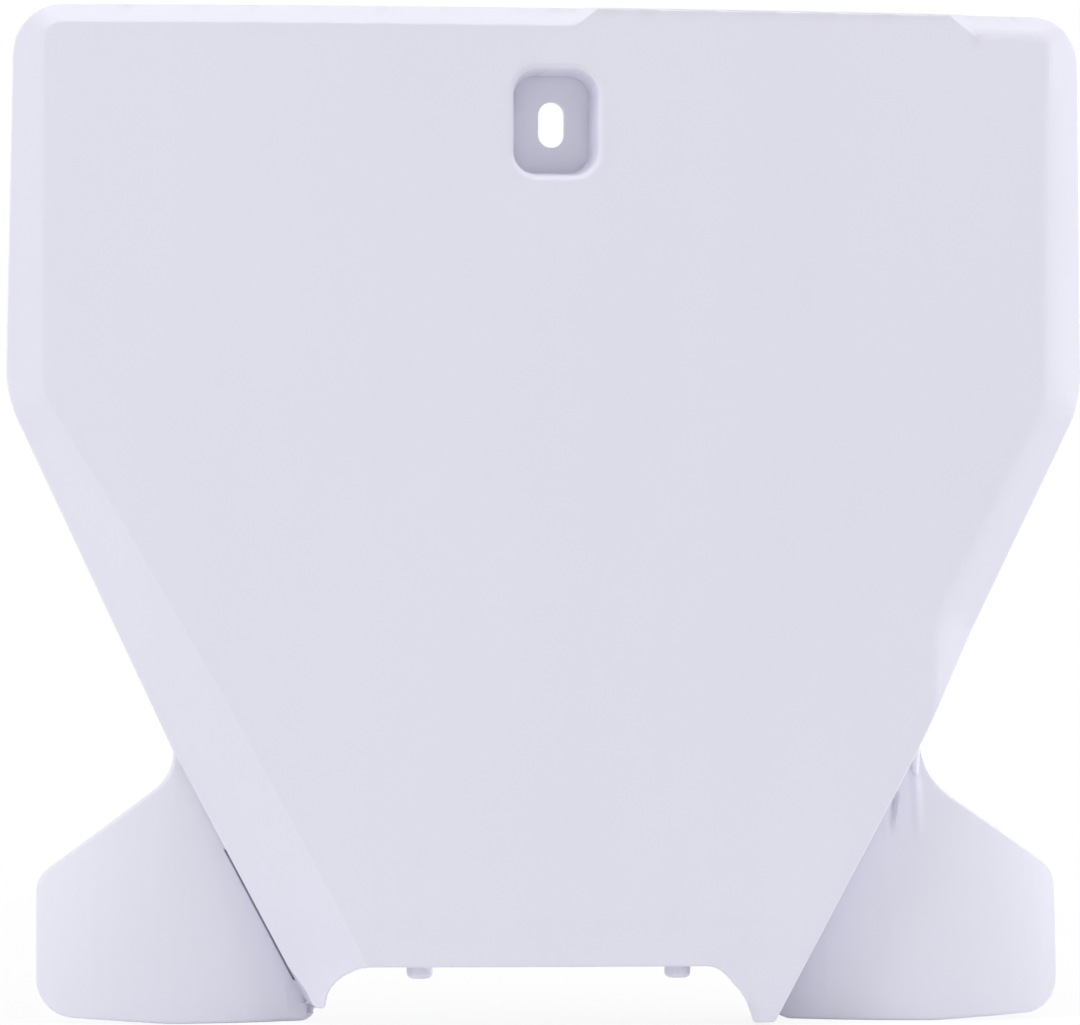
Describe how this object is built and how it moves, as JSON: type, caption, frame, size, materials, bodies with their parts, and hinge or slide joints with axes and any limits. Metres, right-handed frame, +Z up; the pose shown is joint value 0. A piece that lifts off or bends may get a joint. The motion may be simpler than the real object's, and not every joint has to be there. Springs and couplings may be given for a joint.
{
  "type": "racing number board",
  "caption": "Moulded front number board for an off-road motorbike: a bowed, bevelled panel with a bolt pocket, swept wings at the bottom and locating pegs.",
  "frame": {"origin": "middle of the top slot, on the rear face of the bolt pocket's floor, where the board seats on its bracket", "axes": "+X to the right seen from the front, +Y from the front to the back, along the bolt, +Z up"},
  "size_m": [0.2704, 0.0291, 0.2528],
  "materials": {
    "white_plastic": "satin moulded polypropylene, white with a faint cool tint"
  },
  "bodies": {
    "root": {"number_board": "white_plastic"}
  },
  "joints": []
}
